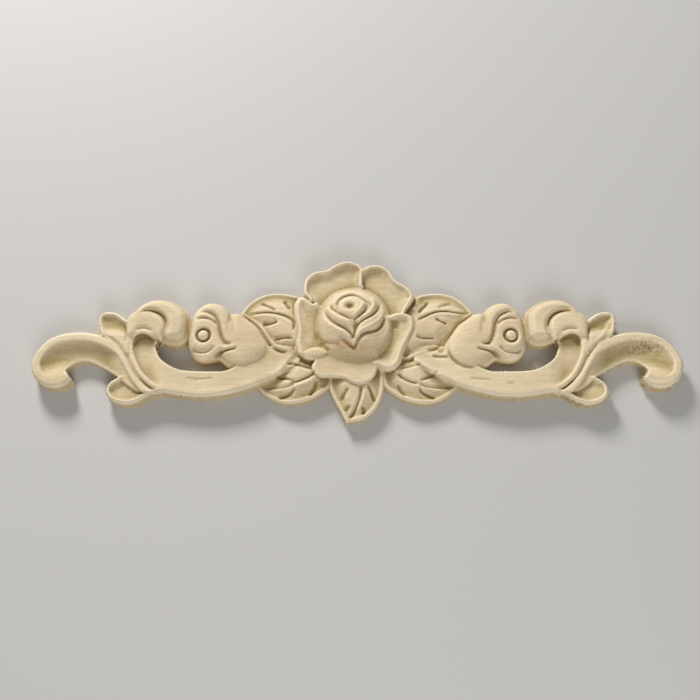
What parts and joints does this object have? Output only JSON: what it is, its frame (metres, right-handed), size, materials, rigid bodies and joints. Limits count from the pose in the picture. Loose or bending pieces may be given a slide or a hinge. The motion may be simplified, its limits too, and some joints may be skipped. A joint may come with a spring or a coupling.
{
  "type": "carved wood applique",
  "caption": "Flat-backed carved wood applique: a full rose with leaves and buds between two open scrolls, for fixing to furniture or trim.",
  "frame": {"origin": "centre of the flat back, on the back face, halfway between the two scroll ends", "axes": "+X along the length, +Y towards the top of the rose, +Z out of the back towards the carved face"},
  "size_m": [0.2, 0.052, 0.0114],
  "materials": {
    "wood": "bare pale wood, sanded, unpainted"
  },
  "bodies": {
    "root": {"carved_applique": "wood"}
  },
  "joints": []
}
